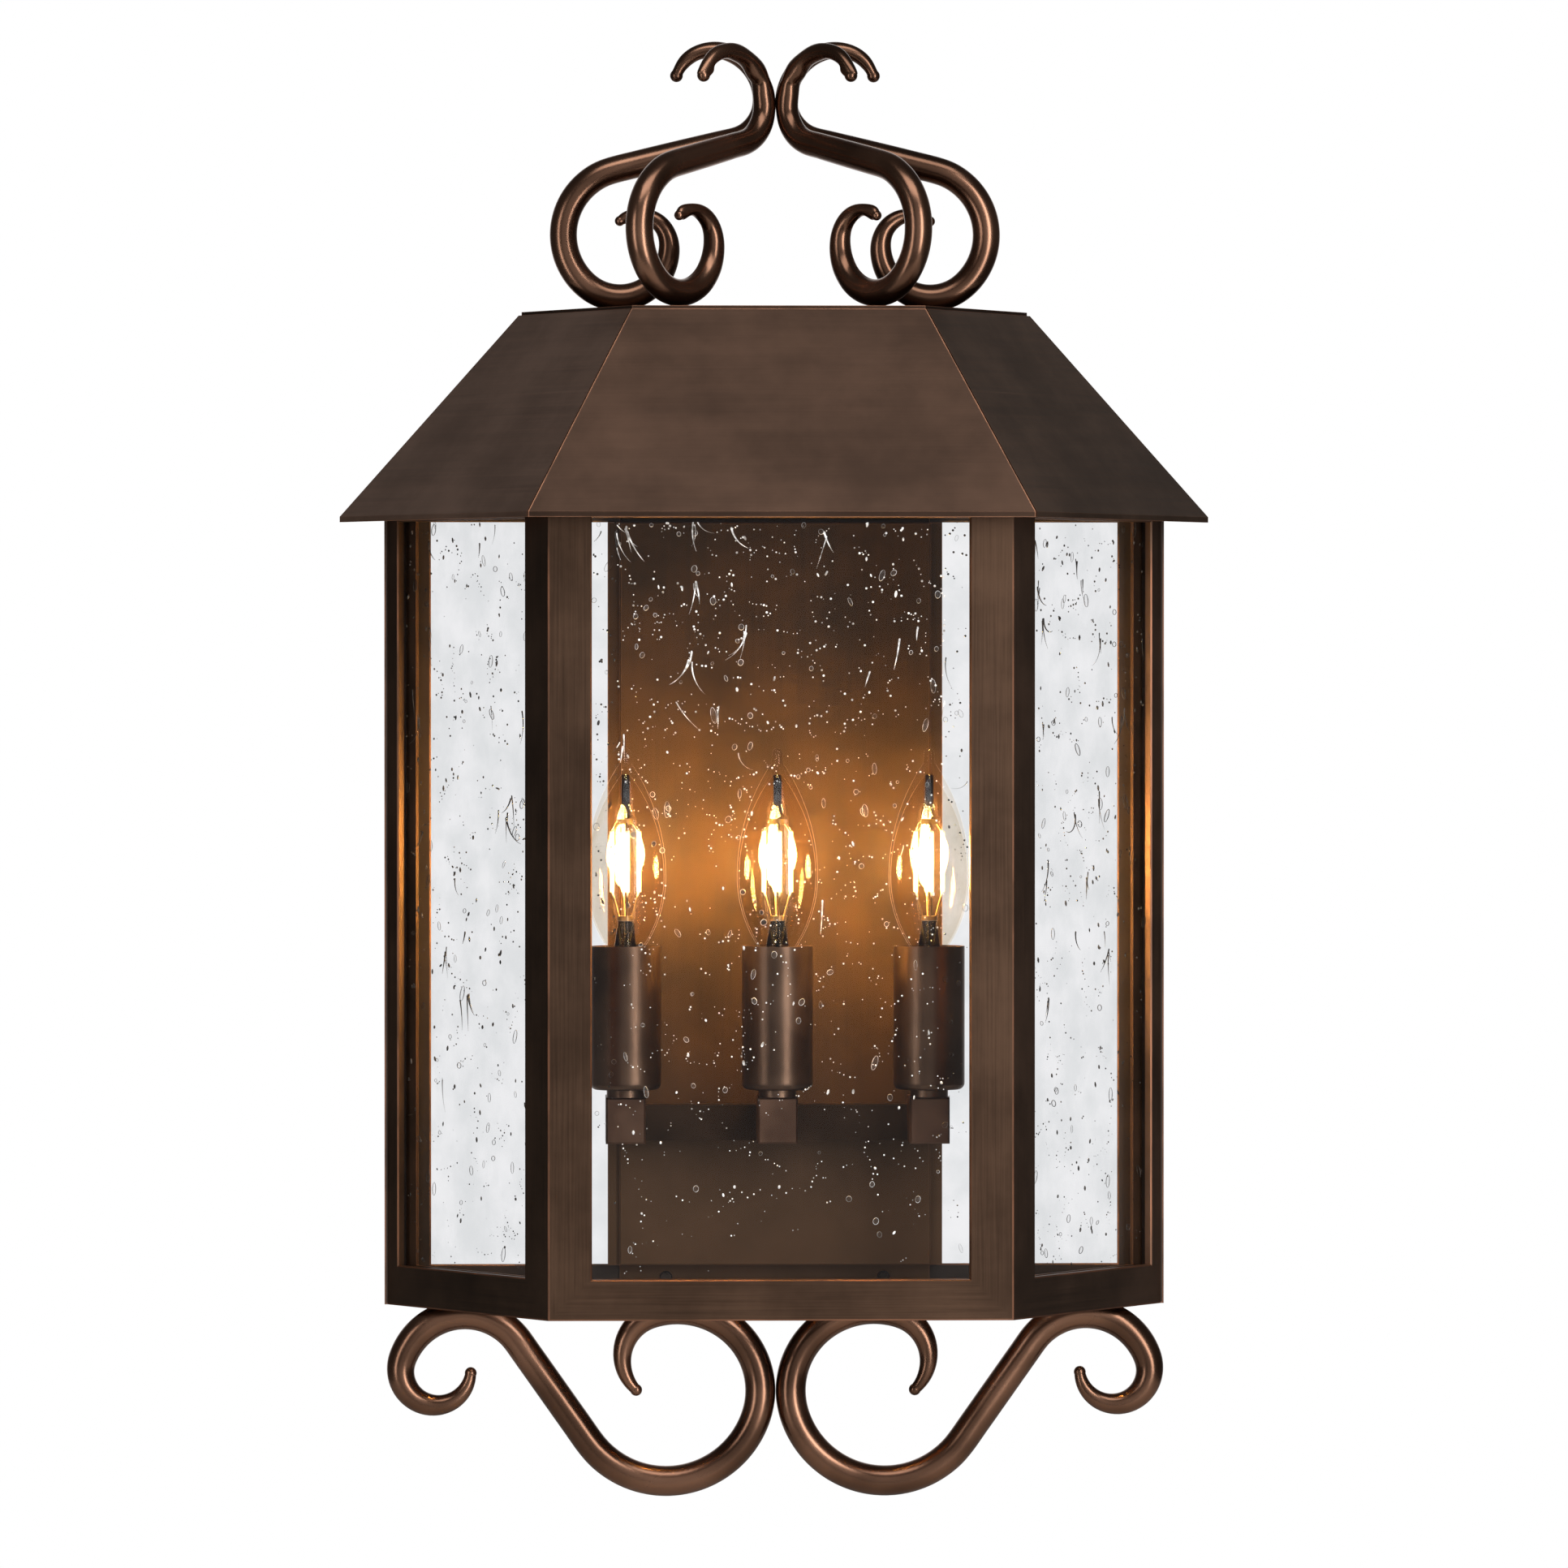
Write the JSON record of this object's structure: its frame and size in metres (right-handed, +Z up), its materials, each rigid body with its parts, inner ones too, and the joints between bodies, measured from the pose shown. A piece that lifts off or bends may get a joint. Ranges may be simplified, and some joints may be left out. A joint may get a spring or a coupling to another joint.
{
  "type": "outdoor wall light",
  "caption": "Wall lantern with a half-hexagonal glazed cage, hipped sheet roof, forged scroll rods above and below, and candle lamps on a socket bar.",
  "frame": {"origin": "centre of the wall box behind the wall plate, in the plane of the wall", "axes": "+Z up, +Y into the wall, +X to the right seen from the front; the front faces -Y"},
  "size_m": [0.3834, 0.1275, 0.6395],
  "materials": {
    "frame_bronze": "dark bronze, brushed, copper colour rubbed through at the edges",
    "roof_bronze": "dark bronze, brushed along the sheet with copper mottling",
    "rod_bronze": "dark bronze, satin, with copper streaks on the ridges",
    "cover_bronze": "satin bronze",
    "dark_screw": "blackened",
    "zinc_steel": "zinc plated",
    "green_screw": "green",
    "seeded_glass": "clear with seeds and drawn bubbles",
    "bulb_glass": "clear, smooth",
    "brass": "plain",
    "nickel": "nickel plated",
    "filament": "warm light sticks",
    "holder_plastic": "moulded",
    "block_plastic": "moulded",
    "lead_sleeve": "smooth"
  },
  "bodies": {
    "lantern": {"front_frame": "frame_bronze", "side_frame_left": "frame_bronze", "side_frame_right": "frame_bronze", "rear_frame": "frame_bronze", "wall_plate": "frame_bronze", "plate_screws": "dark_screw", "glass_front": "seeded_glass", "glass_left": "seeded_glass", "glass_right": "seeded_glass", "retainer_front": "frame_bronze", "retainer_left": "frame_bronze", "retainer_right": "frame_bronze", "glass_clips": "zinc_steel", "clip_screws": "dark_screw", "roof_front": "roof_bronze", "roof_left": "roof_bronze", "roof_right": "roof_bronze", "roof_top_plate": "roof_bronze", "roof_back": "roof_bronze", "ceiling_plate": "roof_bronze", "roof_brackets": "zinc_steel", "roof_screws": "dark_screw", "top_scroll_front_left": "rod_bronze", "top_scroll_front_right": "rod_bronze", "top_scroll_rear_left": "rod_bronze", "top_scroll_rear_right": "rod_bronze", "scroll_bar": "frame_bronze", "bottom_scroll_left": "rod_bronze", "bottom_scroll_right": "rod_bronze", "socket_bar": "cover_bronze", "bar_screws": "dark_screw", "socket_arm_left": "cover_bronze", "socket_arm_center": "cover_bronze", "socket_arm_right": "cover_bronze", "socket_cover_left": "cover_bronze", "socket_cover_center": "cover_bronze", "socket_cover_right": "cover_bronze", "nipples": "brass", "lock_nuts": "brass", "collars": "cover_bronze", "lampholder_left": "holder_plastic", "lampholder_center": "holder_plastic", "lampholder_right": "holder_plastic", "screw_shells": "brass", "center_contacts": "brass", "socket_leads": "lead_sleeve", "terminal_block": "block_plastic", "mounting_bracket": "zinc_steel", "side_screws": "dark_screw", "ground_screw": "green_screw"},
    "bulb_left": {"bulb_glass_left": "bulb_glass", "bulb_cap_left": "nickel", "bulb_filament_left": "filament"},
    "bulb_center": {"bulb_glass_center": "bulb_glass", "bulb_cap_center": "nickel", "bulb_filament_center": "filament"},
    "bulb_right": {"bulb_glass_right": "bulb_glass", "bulb_cap_right": "nickel", "bulb_filament_right": "filament"}
  },
  "joints": [
    {"name": "bulb_left_removal", "type": "slide", "parent": "lantern", "child": "bulb_left", "axis": [0, 0, 1], "range_m": [0, 0.03]},
    {"name": "bulb_center_removal", "type": "slide", "parent": "lantern", "child": "bulb_center", "axis": [0, 0, 1], "range_m": [0, 0.03]},
    {"name": "bulb_right_removal", "type": "slide", "parent": "lantern", "child": "bulb_right", "axis": [0, 0, 1], "range_m": [0, 0.03]}
  ]
}
